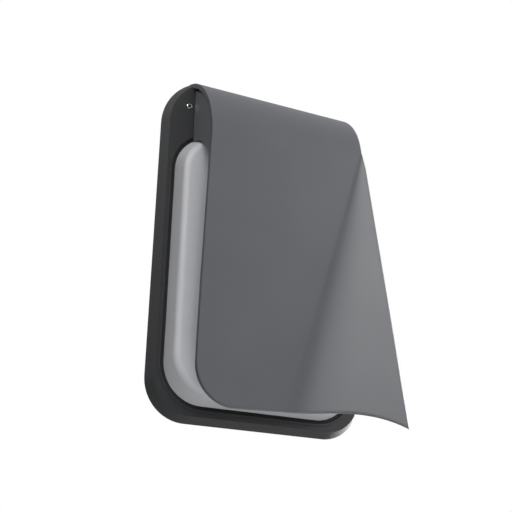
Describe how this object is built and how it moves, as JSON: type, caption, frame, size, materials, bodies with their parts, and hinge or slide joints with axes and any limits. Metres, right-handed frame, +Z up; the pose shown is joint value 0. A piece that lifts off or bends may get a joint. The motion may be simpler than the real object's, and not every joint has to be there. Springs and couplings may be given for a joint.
{
  "type": "outdoor wall light",
  "caption": "Flat anthracite outdoor wall light with an opal diffuser behind a thick hanging shade that rolls over the top and flares out at one lower corner.",
  "frame": {"origin": "middle of the two wall screw slots, on the wall plane behind the bracket", "axes": "+Z up, +X to the right for a person facing the light, -Y out of the wall towards that person"},
  "size_m": [0.16, 0.0911, 0.2516],
  "materials": {
    "bracket_steel": "zinc plated, satin",
    "nut_steel": "zinc plated, turned",
    "pin_steel": "zinc plated, turned",
    "earth_brass": "bright turned brass",
    "housing_coat": "fine textured anthracite powder coat",
    "foam_gasket": "closed cell foam, matt",
    "black_seal": "matt black rubber",
    "head_coat": "fine textured anthracite powder coat",
    "shade_coat": "satin anthracite powder coat",
    "inner_screws": "stainless, satin",
    "cover_sheet": "rolled sheet, mill finish",
    "cover_seal_foam": "foamed rubber, matt",
    "head_screw_steel": "stainless, satin",
    "grommet_rubber": "moulded rubber, matt",
    "driver_case": "white moulded plastic",
    "driver_screw_steel": "stainless, satin",
    "terminal_plastic": "translucent white moulded plastic",
    "terminal_brass": "nickelled brass",
    "lead_sleeve": "extruded insulation",
    "earth_sleeve": "extruded insulation, green and yellow",
    "cover_earth_brass": "bright turned brass",
    "led_lead_sleeve": "extruded insulation",
    "diffuser_seal_rubber": "black silicone rubber",
    "opal_cover": "opal moulded polycarbonate, satin outside",
    "diffuser_screw_steel": "stainless, satin",
    "board_mask": "white solder mask",
    "phosphor": "phosphor filled resin",
    "connector_plastic": "moulded nylon",
    "board_screw_steel": "stainless, satin",
    "white_reflector": "diffuse white film on sheet",
    "left_lock_steel": "stainless, bright turned",
    "right_lock_steel": "stainless, bright turned"
  },
  "bodies": {
    "bracket": {"wall_bracket": "bracket_steel", "clinch_nuts": "nut_steel", "locating_pins": "pin_steel", "bracket_earth_screw": "earth_brass"},
    "front": {"housing": "housing_coat", "wall_gasket": "foam_gasket", "head_seal": "black_seal", "head_casting": "head_coat", "shade": "shade_coat", "shade_screws": "inner_screws", "gear_cover": "cover_sheet", "gear_cover_seal": "cover_seal_foam", "head_screws": "head_screw_steel", "cable_grommet": "grommet_rubber", "driver": "driver_case", "driver_screws": "driver_screw_steel", "terminal_block": "terminal_plastic", "terminal_screws": "terminal_brass", "supply_leads": "lead_sleeve", "earth_lead": "earth_sleeve", "earth_screw": "cover_earth_brass", "led_lead": "led_lead_sleeve", "diffuser_seal": "diffuser_seal_rubber", "diffuser": "opal_cover", "diffuser_screws": "diffuser_screw_steel", "led_board": "board_mask", "led_chips": "phosphor", "board_connector": "connector_plastic", "board_screws": "board_screw_steel", "reflector": "white_reflector"},
    "left_lock": {"left_locking_screw": "left_lock_steel"},
    "right_lock": {"right_locking_screw": "right_lock_steel"}
  },
  "joints": [
    {"name": "front_off_bracket", "type": "slide", "parent": "bracket", "child": "front", "axis": [0, -1, 0], "range_m": [0, 0.04]},
    {"name": "left_locking_screw_turn", "type": "hinge", "parent": "front", "child": "left_lock", "pos_m": [-0.0618, -0.0088, 0.1036], "axis": [0, 1, 0], "continuous": true},
    {"name": "right_locking_screw_turn", "type": "hinge", "parent": "front", "child": "right_lock", "pos_m": [0.0618, -0.0088, 0.1036], "axis": [0, 1, 0], "continuous": true}
  ]
}
